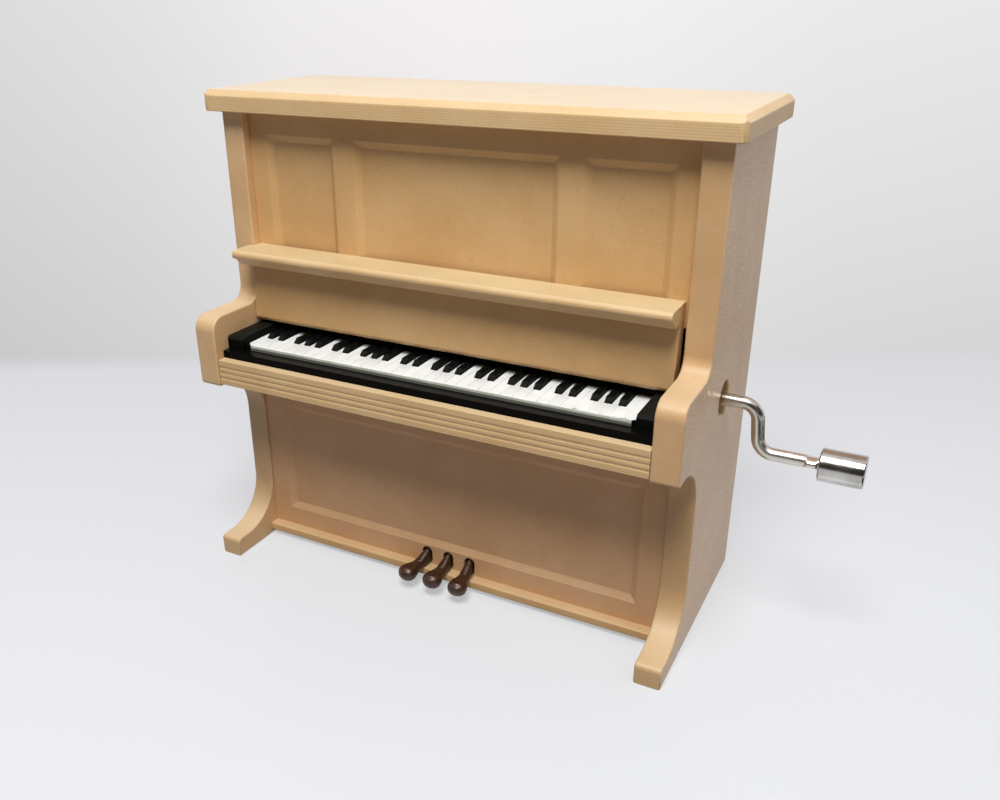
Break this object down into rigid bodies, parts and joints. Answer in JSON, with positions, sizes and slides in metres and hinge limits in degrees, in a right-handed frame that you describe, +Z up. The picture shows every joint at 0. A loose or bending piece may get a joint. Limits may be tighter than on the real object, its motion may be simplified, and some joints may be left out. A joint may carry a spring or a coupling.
{
  "type": "piano music box",
  "caption": "Upright piano music box: tan printed case with panelled front, model keyboard and pedals; a bent wire crank at the right end turns a worm-driven pinned cylinder and comb inside.",
  "frame": {"origin": "On the table, under the middle of the box round the whole part, crank included.", "axes": "+X to the player's right, where the crank is; +Y from the keyboard towards the back; +Z up."},
  "size_m": [0.1276, 0.0486, 0.0967],
  "materials": {
    "tan_plastic": "printed, fine speckled bed texture on the outer faces",
    "black_plastic": "printed, satin",
    "white_plastic": "printed, smooth",
    "bronze_plastic": "printed, silky",
    "zinc": "die-cast",
    "steel": "ground",
    "nickel": "nickel plated",
    "brass": "turned"
  },
  "bodies": {
    "case": {"left_end_panel": "tan_plastic", "right_end_panel": "tan_plastic", "top_lid": "tan_plastic", "upper_front_panel": "tan_plastic", "music_shelf": "tan_plastic", "fallboard": "tan_plastic", "keyboard_base": "black_plastic", "white_keys": "white_plastic", "black_keys": "black_plastic", "key_bed": "tan_plastic", "lower_front_panel": "tan_plastic", "bottom_board": "tan_plastic", "left_pedal": "bronze_plastic", "middle_pedal": "bronze_plastic", "right_pedal": "bronze_plastic", "back_panel": "tan_plastic", "movement_screws": "steel", "bedplate": "zinc", "comb": "steel", "comb_screws": "steel", "inner_crank_bearing": "steel", "outer_crank_bearing": "steel", "bearing_screws": "steel"},
    "crank": {"crank": "nickel", "worm": "brass"},
    "knob": {"crank_knob": "nickel"},
    "cylinder": {"pinned_cylinder": "brass", "cylinder_arbor": "steel", "worm_wheel": "brass"}
  },
  "joints": [
    {"name": "crank_spin", "type": "hinge", "parent": "case", "child": "crank", "pos_m": [0.03843, 0.00225, 0.0462], "axis": [1, 0, 0], "continuous": true},
    {"name": "knob_spin", "type": "hinge", "parent": "crank", "child": "knob", "pos_m": [0.05617, 0.00225, 0.0372], "axis": [1, 0, 0], "continuous": true},
    {"name": "cylinder_spin", "type": "hinge", "parent": "case", "child": "cylinder", "pos_m": [0.01443, 0.01005, 0.033], "axis": [0, 0, 1], "continuous": true}
  ],
  "couplings": [
    {"joint": "cylinder_spin", "follows": "crank_spin", "ratio": -0.0625}
  ]
}
